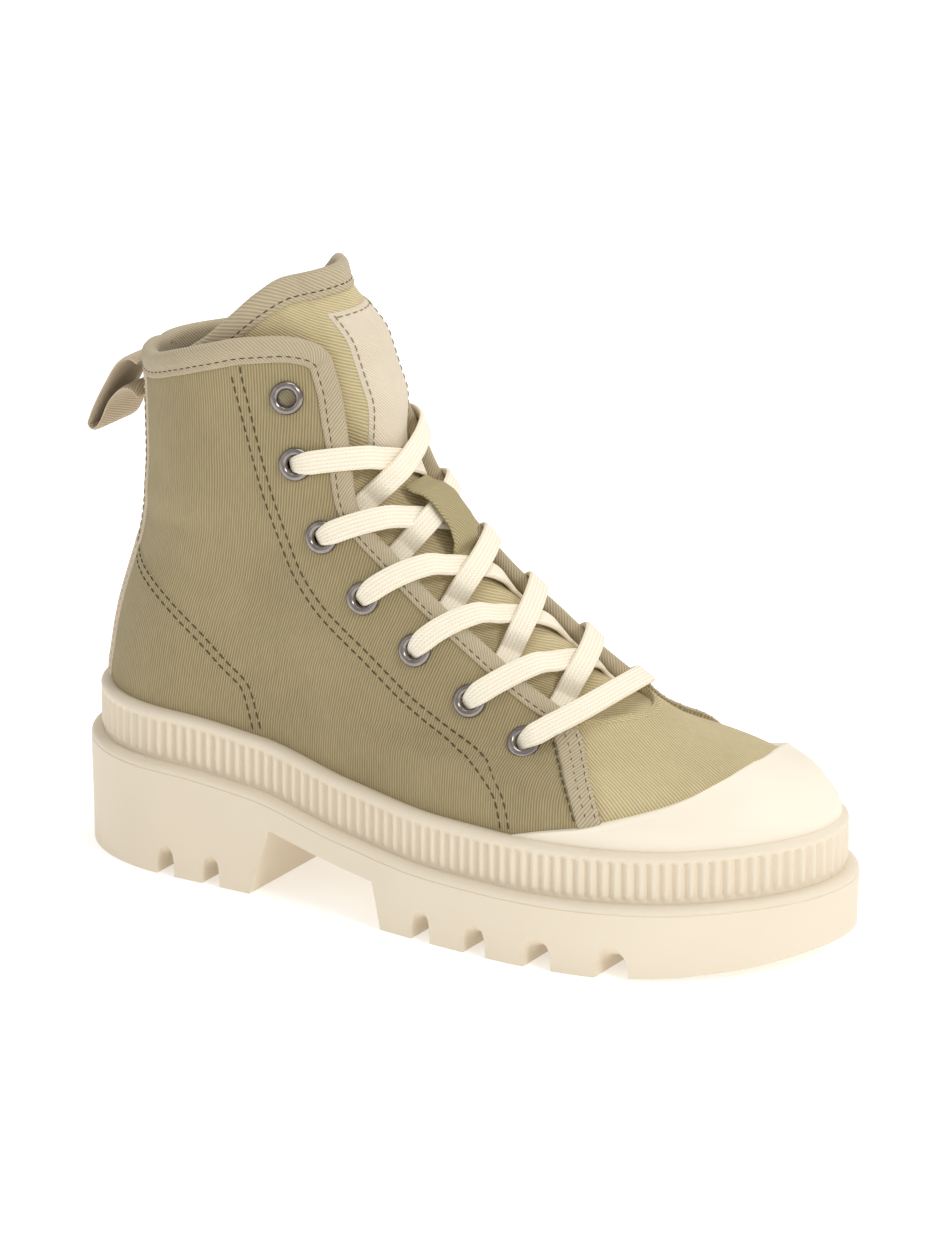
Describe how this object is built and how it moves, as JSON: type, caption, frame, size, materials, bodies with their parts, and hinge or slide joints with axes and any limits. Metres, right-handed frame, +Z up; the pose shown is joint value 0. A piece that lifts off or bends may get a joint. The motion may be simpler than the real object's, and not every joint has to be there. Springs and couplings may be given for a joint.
{
  "type": "lace-up boot",
  "caption": "Ankle-high canvas lace-up boot for the right foot, on a thick lugged rubber sole with a ribbed band and a rubber toe cap.",
  "frame": {"origin": "on the floor, under the middle of the whole boot's box", "axes": "+X towards the toe, +Y towards the inner side of the foot, +Z up"},
  "size_m": [0.2768, 0.1046, 0.2053],
  "materials": {
    "canvas": "olive cotton twill",
    "tape": "beige herringbone tape",
    "sole_rubber": "matt moulded rubber",
    "cap_rubber": "smooth matt rubber",
    "footbed": "woven sock lining",
    "lace": "flat woven cotton",
    "eyelet_metal": "dark nickel"
  },
  "bodies": {
    "root": {"outsole": "sole_rubber", "ribbed_band": "sole_rubber", "insole": "footbed", "upper": "canvas", "toe_cap": "cap_rubber", "tongue": "canvas", "edge_tape": "tape", "front_strap_lateral": "tape", "front_strap_medial": "tape", "back_stay": "tape", "tongue_tape": "tape", "tongue_patch": "tape", "lace_keeper": "canvas", "pull_loop": "tape", "eyelet_lateral_1": "eyelet_metal", "eyelet_medial_1": "eyelet_metal", "eyelet_lateral_2": "eyelet_metal", "eyelet_medial_2": "eyelet_metal", "eyelet_lateral_3": "eyelet_metal", "eyelet_medial_3": "eyelet_metal", "eyelet_lateral_4": "eyelet_metal", "eyelet_medial_4": "eyelet_metal", "eyelet_lateral_5": "eyelet_metal", "eyelet_medial_5": "eyelet_metal", "eyelet_lateral_6": "eyelet_metal", "eyelet_medial_6": "eyelet_metal", "eyelet_lateral_7": "eyelet_metal", "eyelet_medial_7": "eyelet_metal", "lace_bar": "lace", "lace_cross_1": "lace", "lace_cross_2": "lace", "lace_cross_3": "lace", "lace_cross_4": "lace", "lace_cross_5": "lace"}
  },
  "joints": []
}
